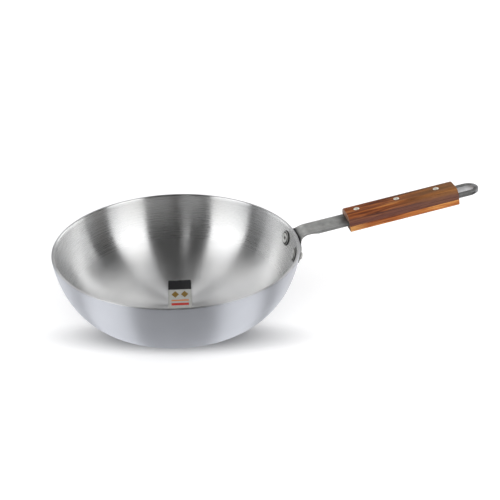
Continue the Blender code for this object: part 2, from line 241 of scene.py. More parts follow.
# %% Turn the bowl
FLOOR_RINGS = [0.012, 0.028, 0.044]
LIP_EASE = 0.001

steps = [step / WALL_STEPS for step in range(WALL_STEPS + 1)]
outside = [tuple(wall_point(t)) for t in steps]
inside = [tuple(wall_point(t) - wall_normal(t) * BOWL_WALL) for t in steps[:-1]]
inside.append((RIM_RADIUS - BOWL_WALL, BOWL_DEPTH))
outline = [(radius, 0.0) for radius in FLOOR_RINGS] + outside
outline += inside[::-1] + [(radius, BOWL_WALL) for radius in FLOOR_RINGS[::-1]]
bowl = lathe("bowl_shell", outline, 192)


def lip_corner(a, b):
    """True for the two sharp edges of the lip."""
    return min(a.z, b.z) > BOWL_DEPTH - 1e-5 and abs(a.xy.length - b.xy.length) < 1e-4


print("lip edges:", pick(bowl, "EDGE", lip_corner))
bpy.ops.mesh.bevel(offset=LIP_EASE, segments=4)
bpy.ops.object.mode_set(mode="OBJECT")

# %% [markdown]
# ## Rivets
# Two rivets go through the wall and the handle's foot. Each has a wide low head with a dimple inside the
# bowl and a small formed tail outside. A plain cylinder would lack the head's soft crown, so one rivet is turned
# on the lathe and copied. Its holes are cut through the bowl now and through the handle later, with the same
# cutter, because a real rivet sits in a real hole.

# %% Where the rivets sit
RIVET_SPACING = 0.0405
RIVET_HEIGHT_SHARE = 0.888166
RIVET_HOLE, RIVET_DRILL = 0.0033, 0.014
SHEET = 0.0016


def rivet_place(side):
    """Frame of a rivet on the outer wall, with its Z axis square out of the wall."""
    radius, height = wall_point(RIVET_HEIGHT_SHARE)
    normal = wall_normal(RIVET_HEIGHT_SHARE)
    turn = math.asin(side * RIVET_SPACING / 2 / radius)
    outward = Vector((normal.x * math.cos(turn), normal.x * math.sin(turn), normal.y))
    place = outward.to_track_quat("Z", "Y").to_matrix().to_4x4()
    place.translation = (radius * math.cos(turn), radius * math.sin(turn), height)
    return place


def drill(thing, matrix, radius, length=0.06):
    """Cut a round hole about the Z axis of a frame."""
    deselect_all()
    bpy.ops.mesh.primitive_cylinder_add(vertices=48, radius=radius, depth=length)
    drill_bit = bpy.context.object
    place_in_mesh(drill_bit, matrix)
    boolean(thing, drill_bit, "DIFFERENCE")


for side in (1, -1):
    drill(bowl, rivet_place(side), RIVET_HOLE, RIVET_DRILL)
    print("rivet at", [round(size, 4) for size in rivet_place(side).translation])
finish_piece(bowl, "bowl", 30)

# %% Turn one rivet and set both
HEAD, SHANK, TAIL = 0.0073, 0.0030, 0.00425
CROWN_HEIGHT = 0.0019
DIMPLE_EDGE, RING_START, RING_END, TAIL_EDGE = 0.0020, 0.0053, 0.0064, 0.0036

# The head's underside lies on the inside of the round wall, and the tail's on the outside of the sheet.
seat = -0.003514
crown = seat - CROWN_HEIGHT
tail = SHEET + 2 * FIT
head_outline = [
    (0.0008, crown + 0.0007), (0.0017, crown + 0.0006), (0.0023, crown + 0.00015), (0.0027, crown),
    (0.0042, crown), (0.0050, crown + 0.00005), (0.0056, crown + 0.0001), (0.0063, crown + 0.0003),
    (0.0070, crown + 0.0007), (HEAD, crown + 0.0012), (HEAD, seat - 0.0004), (HEAD, seat - 0.0001),
    (HEAD - 0.0002, seat),
]
tail_outline = [
    (TAIL - 0.0003, tail), (TAIL, tail + 0.0004), (TAIL, 0.0034), (0.0038, 0.0044), (0.0030, 0.0050),
    (0.0018, 0.0052), (0.0008, 0.00515),
]


def rivet_painted_shade(radius, height):
    """Painted shade in the dimple, round the crown, against the wall and a little round the tail."""
    if height > SHEET:
        return 0.5 * (radius > TAIL_EDGE)
    if radius < DIMPLE_EDGE or RING_START < radius < RING_END or height > seat - 0.0005:
        return 0.95
    return 0.6 * (radius > RING_END)


rear_rivet = lathe("rivet_rear", head_outline + [(SHANK, seat), (SHANK, tail)] + tail_outline, 48)
mark_painted_shade(rear_rivet, rivet_painted_shade)
front_rivet = copy_piece(rear_rivet, "rivet_front")
for rivet, side, node in ((rear_rivet, 1, "bowl_rivet_rear"), (front_rivet, -1, "bowl_rivet_front")):
    place_in_mesh(rivet, rivet_place(side))
    finish_piece(rivet, node, 40)

# %% [markdown]
# ## The handle
# The handle is one piece of sheet steel. A press stamps its flat outline, turns its long edges down to stiffen
# it, and forms the foot round the wall. The bent shape could be modelled straight away, but its fillets and its
# even thickness are hard to get right there. So it is made in the press's order: a flat blank in the XY plane,
# with X along the sheet from the start of the bend, then thickness and turned edges, then one forming step.

# %% The flat blank's outline
STRAP_HALF = 0.01175
FOOT_HALF = 0.03112
FOOT_LOW, SHOULDER, TIP = -0.0146, 0.0016, 0.210118
FOOT_CORNER, REAR_FILLET, FRONT_FILLET = 0.00567, 0.0125, 0.007
STRAP_EDGE = 0.003

deselect_all()
bpy.ops.mesh.primitive_plane_add(size=1.0, location=((FOOT_LOW + TIP) / 2, 0.0, 0.0))
handle = bpy.context.object
handle.name = "handle_strap"
handle.scale = (TIP - FOOT_LOW, 2 * STRAP_HALF, 1.0)
bpy.ops.object.transform_apply(location=True, rotation=True, scale=True)
bpy.ops.object.mode_set(mode="EDIT")
bpy.ops.mesh.select_all(action="SELECT")
bpy.ops.mesh.bisect(plane_co=(SHOULDER, 0.0, 0.0), plane_no=(1.0, 0.0, 0.0))
for side in (1, -1):
    pick(handle, "EDGE", lambda a, b: max(a.x, b.x) < SHOULDER + 1e-5
         and min(side * a.y, side * b.y) > STRAP_HALF - 1e-5)
    bpy.ops.mesh.extrude_edges_move(TRANSFORM_OT_translate={"value": (0.0, side * (FOOT_HALF - STRAP_HALF), 0.0)})
bpy.ops.mesh.select_mode(type="FACE")
bpy.ops.mesh.select_all(action="SELECT")
bpy.ops.mesh.dissolve_faces()
bpy.ops.object.mode_set(mode="OBJECT")
print("corners of the blank:", len(handle.data.vertices))


# %% Round the blank's corners
def round_corner(x, y, radius, segments):
    """Bevel the one corner of the flat blank at (x, y) to an arc."""
    count = pick(handle, "VERT", lambda co: abs(co.x - x) < 1e-5 and abs(co.y - y) < 1e-5)
    bpy.ops.mesh.bevel(offset=radius, segments=segments, affect="VERTICES")
    bpy.ops.object.mode_set(mode="OBJECT")
    return count


corners = 0
for side in (1, -1):
    corners += round_corner(FOOT_LOW, side * FOOT_HALF, FOOT_CORNER, 6)
    corners += round_corner(SHOULDER, side * FOOT_HALF, FOOT_CORNER, 6)
    corners += round_corner(TIP, side * STRAP_HALF, STRAP_HALF - 1e-4, 14)
corners += round_corner(SHOULDER, STRAP_HALF, REAR_FILLET, 8)
corners += round_corner(SHOULDER, -STRAP_HALF, FRONT_FILLET, 8)
print("rounded corners:", corners)

# %% Mark the edge strip, cut rows for the bend and add the thickness
BEND_LENGTH = 0.0161776
EDGE_START = 0.0198178
EDGE_RAMP = 0.007
FOOT_ROWS, BEND_ROWS = 8, 14
COLUMN_GAP, COLUMNS = 0.0025, 12

pick(handle, "FACE", lambda centre, normal: True)
bpy.ops.mesh.inset(thickness=SHEET, use_boundary=True, use_even_offset=True)
rows = [FOOT_LOW - FOOT_LOW * step / FOOT_ROWS for step in range(1, FOOT_ROWS + 1)]
rows += [BEND_LENGTH * step / BEND_ROWS for step in range(1, BEND_ROWS + 1)]
rows += [EDGE_START, EDGE_START + EDGE_RAMP]
for row in rows:
    bpy.ops.mesh.select_all(action="SELECT")
    bpy.ops.mesh.bisect(plane_co=(row, 0.0, 0.0), plane_no=(1.0, 0.0, 0.0))
for column in range(-COLUMNS, COLUMNS + 1):
    pick(handle, "FACE", lambda centre, normal: centre.x < BEND_LENGTH)
    bpy.ops.mesh.bisect(plane_co=(0.0, COLUMN_GAP * column, 0.0), plane_no=(0.0, 1.0, 0.0))
bpy.ops.mesh.select_all(action="SELECT")
bpy.ops.mesh.remove_doubles(threshold=0.00005)
bpy.ops.mesh.select_all(action="SELECT")
bpy.ops.mesh.extrude_region_move(TRANSFORM_OT_translate={"value": (0.0, 0.0, -SHEET)})
bpy.ops.object.mode_set(mode="OBJECT")
print("faces of the blank:", len(handle.data.polygons))


# %% Turn the long edges down
def in_edge_strip(centre, normal):
    """True for a face under the border of the strap, past the place where the edges start to turn."""
    if centre.x < EDGE_START or centre.z > -SHEET + 1e-5 or normal.z > -0.5:
        return False
    past_tip_centre = centre.x - (TIP - STRAP_HALF)
    across = abs(centre.y) if past_tip_centre < 0 else math.hypot(past_tip_centre, centre.y)
    return across > STRAP_HALF - SHEET


activate(handle)
bpy.ops.object.mode_set(mode="EDIT")
bpy.ops.mesh.select_all(action="SELECT")
bpy.ops.mesh.normals_make_consistent(inside=False)
print("turned faces:", pick(handle, "FACE", in_edge_strip))
bpy.ops.mesh.extrude_region_move(TRANSFORM_OT_translate={"value": (0.0, 0.0, SHEET - STRAP_EDGE)})
pick(handle, "VERT", lambda co: co.z < -SHEET - 1e-5 and co.x < EDGE_START + 1e-5)
bpy.ops.transform.translate(value=(EDGE_RAMP, 0.0, 0.0))
bpy.ops.mesh.select_all(action="SELECT")
bpy.ops.mesh.remove_doubles(threshold=0.00002)
bpy.ops.object.mode_set(mode="OBJECT")

# %% [markdown]
# ### The hanging slot
# The loop at the handle's end is pierced, and its slot has a rim that is pressed down. Past the grip the rim is
# so deep that the floor can't be seen through the slot from the front. The rim could be extruded from the
# slot's edge, but its depth changes half way. So two blocks with round ends are joined on for it, and a smaller
# one is cut out for the slot.

# %% Pierce the loop
SLOT_HALF = 0.0055
SLOT_MIDDLE = 0.192118
SLOT_REACH = 0.008
RIM_DEPTH, RIM_START = 0.006, 0.184418


def slot_block(margin, low, high, near=0.0):
    """A block with round ends, as a beveled plane that is cut off square before near and extruded down."""
    deselect_all()
    bpy.ops.mesh.primitive_plane_add(size=2.0, location=(SLOT_MIDDLE, 0.0, high))
    block = bpy.context.object
    block.scale = (SLOT_HALF + SLOT_REACH + margin, SLOT_HALF + margin, 1.0)
    bpy.ops.object.transform_apply(location=True, rotation=True, scale=True)
    bpy.ops.object.mode_set(mode="EDIT")
    bpy.ops.mesh.select_all(action="SELECT")
    bpy.ops.mesh.bevel(offset=SLOT_HALF + margin - 1e-6, segments=12, affect="VERTICES")
    bpy.ops.mesh.select_all(action="SELECT")
    bpy.ops.mesh.bisect(plane_co=(near, 0.0, 0.0), plane_no=(1.0, 0.0, 0.0), clear_inner=True)
    bpy.ops.mesh.select_all(action="SELECT")
    bpy.ops.mesh.extrude_region_move(TRANSFORM_OT_translate={"value": (0.0, 0.0, low - high)})
    bpy.ops.mesh.select_all(action="SELECT")
    bpy.ops.mesh.normals_make_consistent(inside=False)
    bpy.ops.object.mode_set(mode="OBJECT")
    return block


boolean(handle, slot_block(SHEET, -STRAP_EDGE, -SHEET / 2), "UNION")
boolean(handle, slot_block(SHEET, -RIM_DEPTH, -SHEET / 2, RIM_START), "UNION")
boolean(handle, slot_block(0.0, -0.01, 0.004), "DIFFERENCE")
print("faces with the slot:", len(handle.data.polygons))

# %% [markdown]
# ### Forming the handle
# A Curve modifier could bend the strap, but the foot must also hug the round wall, and both happen in one
# stroke of a press. So each point of the flat blank is moved once, by a formula. Along the sheet it follows the
# wall, then the arc of the bend, then the straight strap. Across the foot it sags back onto the wall's circle.

# %% One stroke of the press
BEND_RADIUS = 0.013
BEND_SHARE = 0.962037
STRAP_RISE = math.radians(10.2)
STRAP_LIFT = 0.004
along_strap = Vector((math.cos(STRAP_RISE), math.sin(STRAP_RISE)))
above_strap = Vector((-along_strap.y, along_strap.x))
bend_normal = wall_normal(BEND_SHARE)
bend_centre = wall_point(BEND_SHARE) + bend_normal * (FIT + BEND_RADIUS)
sweep_start = math.atan2(-bend_normal.y, -bend_normal.x) % math.tau


def wall_at_height(height):
    """Find the wall's t at a height, by halving."""
    low, high = 0.0, 1.0
    for _ in range(40):
        middle = (low + high) / 2
        if wall_point(middle).y < height:
            low = middle
        else:
            high = middle
    return (low + high) / 2


def formed(co):
    """Where the press moves a point of the flat blank."""
    v, across, depth = co.x, co.y, -co.z
    if v <= 0.0:
        t = wall_at_height(wall_point(BEND_SHARE).y + v)
        section = wall_point(t) + wall_normal(t) * (FIT + depth)
    elif v <= BEND_LENGTH:
        angle = sweep_start - v / BEND_RADIUS
        section = bend_centre + Vector((math.cos(angle), math.sin(angle))) * (BEND_RADIUS - depth)
    else:
        section = bend_centre + above_strap * (BEND_RADIUS - depth) + along_strap * (v - BEND_LENGTH)
    wrap = min(1.0, max(0.0, 2.0 - v / BEND_LENGTH))
    sag = section.x - math.sqrt(section.x**2 - across**2)
    return Vector((section.x - wrap * sag, across, section.y))


print("sheet at the strap's tip:", [round(size, 4) for size in formed(Vector((TIP, 0.0, 0.0)))])

# %% Bend the blank and drill it
strap_frame = Matrix.Rotation(-STRAP_RISE, 4, "Y")
strap_frame.translation = (RIM_RADIUS, 0.0, BOWL_DEPTH + STRAP_LIFT)
PINS = {"near": 0.0676, "middle": 0.11245, "far": 0.1573}
PIN_HOLE, STRAP_DRILL = 0.00345, 0.02
EDGE_BREAK = 0.00025


def pin_place(along):
    """Frame of a pin at a distance along the strap, with its Z axis square to the strap."""
    return strap_frame @ Matrix.Translation((along, 0.0, 0.0))


for vert in handle.data.vertices:
    vert.co = formed(vert.co)
for side in (1, -1):
    drill(handle, rivet_place(side), RIVET_HOLE, RIVET_DRILL)
for along in PINS.values():
    drill(handle, pin_place(along), PIN_HOLE, STRAP_DRILL)
apply_modifier(handle, "BEVEL", width=EDGE_BREAK, segments=2, limit_method="ANGLE", angle_limit=math.radians(50))
finish_piece(handle, "handle", 40)

# %% [markdown]
# ## The grip
# The grip is two strips of hardwood. Boxes with bevels could stand for them, but the upper one's round top and
# its channel are easier to see from the end. Each has one shape all along its length, as a moulding has, so
# each starts as its end view: a plane that stands at the near end, gets its rounded corners, and is extruded
# along the strap. The upper strip's channel, in its underside, is where the strap lies.

# %% Shared sizes of the grip
GRIP_START, GRIP_LENGTH = 0.0548, 0.123
GRIP_HALF = 0.0145
UPPER_HEIGHT, LOWER_HEIGHT = 0.0118, 0.0063
UPPER_ROUND, LOWER_EASE, END_EASE = 0.009, 0.0008, 0.0007
print(f"grip: {GRIP_LENGTH * 1000:.0f} mm long, {GRIP_HALF * 2000:.0f} mm wide")


def end_view(name, low, high):
    """A plane that stands across the strap at the grip's near end, in the strap's frame."""
    deselect_all()
    bpy.ops.mesh.primitive_plane_add(size=1.0)
    strip = bpy.context.object
    strip.name = name
    lying = Matrix.Diagonal((2 * GRIP_HALF, high - low, 1.0, 1.0))
    stand = Matrix(((0, 0, 1, GRIP_START), (1, 0, 0, 0.0), (0, 1, 0, (low + high) / 2), (0, 0, 0, 1)))
    place_in_mesh(strip, stand @ lying)
    return strip


def draw_out(strip):
    """Extrude an end view along the grip, and ease the edges of both ends."""
    pick(strip, "FACE", lambda centre, normal: True)
    bpy.ops.mesh.extrude_region_move(TRANSFORM_OT_translate={"value": (GRIP_LENGTH, 0.0, 0.0)})
    bpy.ops.mesh.select_all(action="SELECT")
    bpy.ops.mesh.normals_make_consistent(inside=False)
    ends = (GRIP_START, GRIP_START + GRIP_LENGTH)
    pick(strip, "EDGE", lambda a, b: any(max(abs(a.x - end), abs(b.x - end)) < 1e-5 for end in ends))
    bpy.ops.mesh.bevel(offset=END_EASE, segments=3)
    bpy.ops.object.mode_set(mode="OBJECT")


def drill_pin_holes(strip):
    """Put the strip on the strap and drill it for the three pins."""
    place_in_mesh(strip, strap_frame)
    for along in PINS.values():
        drill(strip, pin_place(along), PIN_HOLE)


# %% The upper strip
upper = end_view("grip_top", -STRAP_EDGE, UPPER_HEIGHT - STRAP_EDGE)
print("top corners:", pick(upper, "VERT", lambda co: co.z > 0.0))
bpy.ops.mesh.bevel(offset=UPPER_ROUND, segments=12, affect="VERTICES")
bpy.ops.mesh.select_all(action="SELECT")
for side in (1, -1):
    bpy.ops.mesh.bisect(plane_co=(0.0, side * (STRAP_HALF + FIT), 0.0), plane_no=(0.0, 1.0, 0.0))
    bpy.ops.mesh.select_all(action="SELECT")
bpy.ops.mesh.bisect(plane_co=(0.0, 0.0, FIT), plane_no=(0.0, 0.0, 1.0))
pick(upper, "FACE", lambda centre, normal: abs(centre.y) < STRAP_HALF and centre.z < FIT)
bpy.ops.mesh.delete(type="FACE")
bpy.ops.mesh.select_all(action="SELECT")
bpy.ops.mesh.dissolve_limited(angle_limit=math.radians(0.1))
draw_out(upper)
drill_pin_holes(upper)
finish_piece(upper, "grip_upper_scale", 30)

# %% The lower strip
lower = end_view("grip_bottom", -STRAP_EDGE - FIT - LOWER_HEIGHT, -STRAP_EDGE - FIT)
pick(lower, "VERT", lambda co: co.z < -STRAP_EDGE - LOWER_HEIGHT / 2)
bpy.ops.mesh.bevel(offset=LOWER_EASE, segments=3, affect="VERTICES")
draw_out(lower)
drill_pin_holes(lower)
finish_piece(lower, "grip_lower_scale", 30)

# %% [markdown]
# ## Pins of the grip
# Three plain aluminium pins hold the wood. Their ends were hammered to low domes and sanded almost flush, so
# each shows a bright disc with a small dint in its middle. They are alike, so one is turned and copied.

# %% Turn one pin and set three
PIN_RADIUS, DINT_RADIUS = 0.00315, 0.0005
pin_low = -STRAP_EDGE - FIT - LOWER_HEIGHT
pin_high = UPPER_HEIGHT - STRAP_EDGE
pin_outline = [
    (0.0007, pin_low - 0.0003), (0.0016, pin_low - 0.0004), (0.0024, pin_low - 0.0002), (PIN_RADIUS, pin_low),
    (PIN_RADIUS, pin_high), (0.0028, pin_high + 0.0002), (0.0021, pin_high + 0.00034),
    (0.0013, pin_high + 0.0004), (0.0008, pin_high + 0.00034), (0.0004, pin_high + 0.0001),
]
pins = [lathe("pin_near", pin_outline, 40)]
# The dint in each pin's end is darkened as painted shade in the recess.
mark_painted_shade(pins[0], lambda radius, height: 0.4 * (radius < DINT_RADIUS))
pins += [copy_piece(pins[0], name) for name in ("pin_middle", "pin_far")]
for pin, (name, along) in zip(pins, PINS.items()):
    place_in_mesh(pin, pin_place(along))
    finish_piece(pin, "grip_pin_" + name, 50)

# %% [markdown]
# ## The label
# A new pan has a paper label on its floor, stuck down flat. A flat plane would do for the camera, but the
# finished model has to be a closed shell. So the plane gets its rounded corners and is extruded up by the
# thickness of the label.

# %% Cut and lay the label
LABEL_HALF = (0.01275, 0.034)
LABEL_CORNER, LABEL_THICKNESS = 0.0015, 0.0003
LABEL_MIDDLE, LABEL_TURN = (0.0035, 0.0205), math.radians(-6.5)
label_place = Matrix.Rotation(LABEL_TURN, 4, "Z")
label_place.translation = (*LABEL_MIDDLE, BOWL_WALL + FIT)
deselect_all()
bpy.ops.mesh.primitive_plane_add(size=2.0)
label = bpy.context.object
label.name = "paper_label"
label.scale = (*LABEL_HALF, 1.0)
bpy.ops.object.transform_apply(scale=True)
bpy.ops.object.mode_set(mode="EDIT")
bpy.ops.mesh.select_all(action="SELECT")
bpy.ops.mesh.bevel(offset=LABEL_CORNER, segments=5, affect="VERTICES")
bpy.ops.mesh.select_all(action="SELECT")
bpy.ops.mesh.extrude_region_move(TRANSFORM_OT_translate={"value": (0.0, 0.0, LABEL_THICKNESS)})
bpy.ops.object.mode_set(mode="OBJECT")
place_in_mesh(label, label_place)
finish_piece(label, "floor_label", 30)

# %% [markdown]
# ## Building materials
# A finish is a few nodes that drive the Principled shader's colour, roughness and bump. They could be placed by
# hand in the shader editor. These helpers add a node in one line, so that a finish reads like its recipe, and
# what several finishes share is kept in a node group.


# %% Helpers for nodes
def add_node(tree, kind, inputs=None, **settings):
    """Add a node, set its properties, and fill its inputs with values or links."""
    node = tree.nodes.new("ShaderNode" + kind)
    for name, value in settings.items():
        setattr(node, name, value)
    for name, value in (inputs or {}).items():
        if isinstance(value, bpy.types.NodeSocket):
            tree.links.new(value, node.inputs[name])
        else:
            node.inputs[name].default_value = value
    return node


def maths(tree, operation, first, second=0.0):
    """One step of arithmetic between two sockets or numbers."""
    return add_node(tree, "Math", {0: first, 1: second}, operation=operation).outputs[0]


def slope(tree, value, start, end, first=0.0, last=1.0, soft=False):
    """A number that goes from first, where the value is start, to last, where it is end."""
    kind = "SMOOTHSTEP" if soft else "LINEAR"
    return add_node(tree, "MapRange", {0: value, 1: start, 2: end, 3: first, 4: last},
                    interpolation_type=kind).outputs[0]


def coordinates(tree, kind="Object"):
    """Where a point lies on its own object, or with another kind how it faces."""
    return add_node(tree, "TexCoord").outputs[kind]


def split(tree, vector):
    """The three numbers of a vector."""
    return add_node(tree, "SeparateXYZ", {0: vector}).outputs


def length(tree, vector):
    """How long a vector is."""
    return add_node(tree, "VectorMath", {0: vector}, operation="LENGTH").outputs["Value"]


def noise(tree, place, scale, detail, distortion=0.0):
    """Cloudy noise at a place."""
    return add_node(tree, "TexNoise", {"Vector": place, "Scale": scale, "Detail": detail,
                                       "Distortion": distortion}).outputs[0]


# %% Helpers for finishes
def colour_steps(tree, factor, stops):
    """A colour ramp from (place, colour) pairs."""
    ramp = add_node(tree, "ValToRGB", {"Fac": factor})
    elements = ramp.color_ramp.elements
    while len(elements) < len(stops):
        elements.new(0.5)
    for element, (place, colour) in zip(elements, stops):
        element.position = place
        element.color = (*colour, 1.0)
    return ramp.outputs["Color"]


def mix_colours(tree, factor, first, second, blend="MIX"):
    """Mix two colours by a factor."""
    return add_node(tree, "Mix", {0: factor, 6: first, 7: second}, data_type="RGBA", blend_type=blend).outputs[2]


def add_bump(tree, shader, height, strength, distance):
    """Give the surface a fine relief."""
    bump = add_node(tree, "Bump", {"Strength": strength, "Distance": distance, "Height": height})
    tree.links.new(bump.outputs[0], shader.inputs["Normal"])


def new_finish(name, **constants):
    """A material with a Principled shader, whose constant sockets are set on the shader itself."""
    material = bpy.data.materials.new(name)
    material.use_nodes = True
    tree = material.node_tree
    shader = tree.nodes["Principled BSDF"]
    for socket, value in constants.items():
        shader.inputs[socket.replace("_", " ")].default_value = value
    return material, tree, shader


def new_group(name, inputs, outputs, kind="Float"):
    """A node group, and the sockets that come into it and go out of it."""
    group = bpy.data.node_groups.new(name, "ShaderNodeTree")
    for socket in inputs:
        group.interface.new_socket(socket, in_out="INPUT", socket_type="NodeSocket" + kind)
    for socket in outputs:
        group.interface.new_socket(socket, in_out="OUTPUT", socket_type="NodeSocketFloat")
    print(f"node group {name}: {', '.join(inputs)} -> {', '.join(outputs)}")
    return group, group.nodes.new("NodeGroupInput").outputs, group.nodes.new("NodeGroupOutput").inputs


# %% [markdown]
# ## Spun aluminium
# The spinning roller leaves fine grooves that run round the bowl. They scatter light up and down the wall but
# hardly sideways, which turns every lamp into a bright band from the lip to the middle of the floor. Real
# grooves would be far too many faces. The shader's anisotropy does the same, with its tangent running round the
# Z axis. Fine rings and a little unevenness come from noise that is read by distance from the axis and by
# height, so it never shows a seam.

# %% A node group for marks that run round an axis
rings, asked, given = new_group("spun_rings", ["Fineness"], ["Height", "Unevenness"])
place = coordinates(rings)
x, y, z = split(rings, place)
squares = maths(rings, "ADD", maths(rings, "MULTIPLY", x, x), maths(rings, "MULTIPLY", y, y))
around = add_node(rings, "CombineXYZ", {0: maths(rings, "SQRT", squares), 1: z}).outputs[0]
fine = add_node(rings, "VectorMath", {0: around, "Scale": asked["Fineness"]}, operation="SCALE").outputs[0]
rings.links.new(noise(rings, fine, 1.0, 4.0), given["Height"])
rings.links.new(noise(rings, place, 14.0, 3.0), given["Unevenness"])

# %% [markdown]
# ### Three finishes on one bowl
# Inside, the metal is bright, a little duller low down, and dark with painted shade in the narrow crevice round
# each rivet's head. Outside, the same aluminium has a darker blue-grey tone, which is painted shade. The cut lip
# is nearly as dull as the outside but has a plain grey tone. Each is the same recipe with its own tones and
# roughness. The faces get their finish by where they lie and point, which needs no seams and no texture painting.

# %% The bowl's finishes
GROOVES_PER_METRE = 4200.0
SCUFF_LOW, SCUFF_HIGH = 0.004, 0.035
CREVICE_START, CREVICE_END = 0.0078, 0.0090


def spun_finish(name, dark, light, smooth, dull, scuff=0.0, crevices=()):
    """Aluminium with grooves round the Z axis, from two tones and two roughnesses, with painted shade round each
    crevice.
    """
    material, tree, shader = new_finish(name, Metallic=1.0, Anisotropic=1.0, Anisotropic_Rotation=0.25)
    marks = add_node(tree, "Group", {"Fineness": GROOVES_PER_METRE}, node_tree=rings).outputs
    tone = colour_steps(tree, marks["Unevenness"], [(0.3, dark), (0.7, light)])
    if crevices:
        # Painted shade: a dark ring round each rivet's head, by distance from its seat.
        gaps = [add_node(tree, "VectorMath", {0: coordinates(tree), 1: spot}, operation="DISTANCE")
                for spot in crevices]
        nearest = maths(tree, "MINIMUM", *[gap.outputs["Value"] for gap in gaps])
        painted_dark = slope(tree, nearest, CREVICE_START, CREVICE_END, 0.95, 0.0)
        tone = mix_colours(tree, painted_dark, tone, (0.02, 0.02, 0.02, 1.0))
    tree.links.new(tone, shader.inputs["Base Color"])
    rough = slope(tree, marks["Height"], 0.4, 0.6, smooth, dull)
    level = split(tree, coordinates(tree))[2]
    scuffed = slope(tree, level, SCUFF_LOW, SCUFF_HIGH, scuff, 0.0)
    tree.links.new(maths(tree, "ADD", rough, scuffed), shader.inputs["Roughness"])
    tangent = add_node(tree, "Tangent", direction_type="RADIAL", axis="Z")
    tree.links.new(tangent.outputs[0], shader.inputs["Tangent"])
    return material


head_seats = [tuple(rivet_place(side) @ Vector((0.0, 0.0, seat))) for side in (1, -1)]
for finish in (
    # The outside's darker, bluer tones are painted shade on the same aluminium as the inside.
    spun_finish("spun_outside_shaded", (0.53, 0.545, 0.585), (0.58, 0.595, 0.635), 0.54, 0.60),
    spun_finish("spun_inside", (0.695, 0.70, 0.71), (0.755, 0.755, 0.75), 0.25, 0.30, 0.11, head_seats),
    spun_finish("cut_lip", (0.58, 0.58, 0.59), (0.68, 0.68, 0.69), 0.40, 0.55),
):
    bowl.data.materials.append(finish)

# %% Give each face of the bowl its finish
OUTSIDE, INSIDE, LIP = 0, 1, 2
LIP_BAND = 0.0002
for face in bowl.data.polygons:
    outward = face.normal.xy.dot(face.center.xy.normalized())
    if face.center.z > BOWL_DEPTH - LIP_BAND:
        face.material_index = LIP
    elif outward < 0.1 and face.normal.z > 0.0:
        face.material_index = INSIDE
    else:
        face.material_index = OUTSIDE
for index, finish in enumerate(bowl.data.materials):
    print(f"{finish.name}: {sum(face.material_index == index for face in bowl.data.polygons)} faces")

# %% [markdown]
# ## Rivets and pins
# They are softer aluminium that was formed by a hammer, so they have no grooves, just small dints. Two tones
# follow the same noise as the relief. Painted shade lies in the hollows that were marked on the lathe, and makes
# the dimple and the ring round the crown nearly black. The pins are a little yellower than the rivets.

# %% The finish of rivets and pins
SHADE_BLACK = (0.03, 0.029, 0.027, 1.0)


def formed_finish(name, dark, light):
    """Hammered aluminium between two tones, nearly black where shade is painted in its hollows."""
    material, tree, shader = new_finish(name, Metallic=1.0)
    dints = noise(tree, coordinates(tree), 900.0, 3.0)
    tone = colour_steps(tree, dints, [(0.3, dark), (0.7, light)])
    painted_shade = add_node(tree, "Attribute", attribute_name="painted_shade").outputs["Fac"]
    # Painted shade: the marked hollows are mixed towards near black.
    tree.links.new(mix_colours(tree, painted_shade, tone, SHADE_BLACK), shader.inputs["Base Color"])
    tree.links.new(slope(tree, dints, 0.3, 0.7, 0.26, 0.42), shader.inputs["Roughness"])
    add_bump(tree, shader, dints, 0.3, 0.0001)
    return material


rivet_metal = formed_finish("rivet_aluminium", (0.70, 0.70, 0.68), (0.90, 0.90, 0.88))
pin_metal = formed_finish("pin_aluminium", (0.74, 0.70, 0.62), (0.90, 0.86, 0.76))
for piece in (rear_rivet, front_rivet):
    piece.data.materials.append(rivet_metal)
for pin in pins:
    pin.data.materials.append(pin_metal)
print("pieces of formed aluminium:", 2 + len(pins))

# %% [markdown]
# ## Strap steel
# The handle was tumbled, not polished: a dull mid-grey with cloudy lighter and darker patches. Its sides, the
# crevice behind the lip and the end by the grip are darker with painted shade, a share that is read from place
# and direction and lies over the tone. The hanging loop is one piece with the strap but has three tones of its
# own, which are painted light and shade: a lighter slot, a grey face and a nearly black outer edge. It gets them
# face by face, as the bowl does.

# %% The steel
BEHIND_LIP, BEFORE_GRIP = (0.1306, 0.1330), (0.170, 0.183)
CREVICE_SIDE = (0.0150, 0.0190)


def strap_shade(tree):
    """Painted shade: a share that is less than 1 on the sides, behind the lip and by the grip."""
    along, across, _ = split(tree, coordinates(tree))
    upward = slope(tree, split(tree, coordinates(tree, "Normal"))[2], 0.3, 0.85, 0.50, 1.0)
    crevice = slope(tree, maths(tree, "ABSOLUTE", across), *CREVICE_SIDE, 0.15, 1.0)
    by_bowl = slope(tree, along, *BEHIND_LIP, crevice, 1.0, soft=True)
    by_grip = slope(tree, along, *BEFORE_GRIP, 1.0, 0.42, soft=True)
    return maths(tree, "MULTIPLY", upward, maths(tree, "MULTIPLY", by_bowl, by_grip))


def tumbled_steel(name, dark, light, shade=None):
    """Dull steel whose patches lie between two tones, under a shade where one is given."""
    material, tree, shader = new_finish(name, Metallic=0.9)
    clouds = noise(tree, coordinates(tree), 130.0, 5.0)
    specks = noise(tree, coordinates(tree), 1400.0, 2.0)
    tone = colour_steps(tree, clouds, [(0.3, dark), (0.7, light)])
    if shade:
        tone = add_node(tree, "VectorMath", {0: tone, "Scale": shade(tree)}, operation="SCALE").outputs[0]
    tree.links.new(tone, shader.inputs["Base Color"])
    tree.links.new(slope(tree, clouds, 0.3, 0.7, 0.50, 0.36), shader.inputs["Roughness"])
    add_bump(tree, shader, specks, 0.25, 0.0001)
    return material


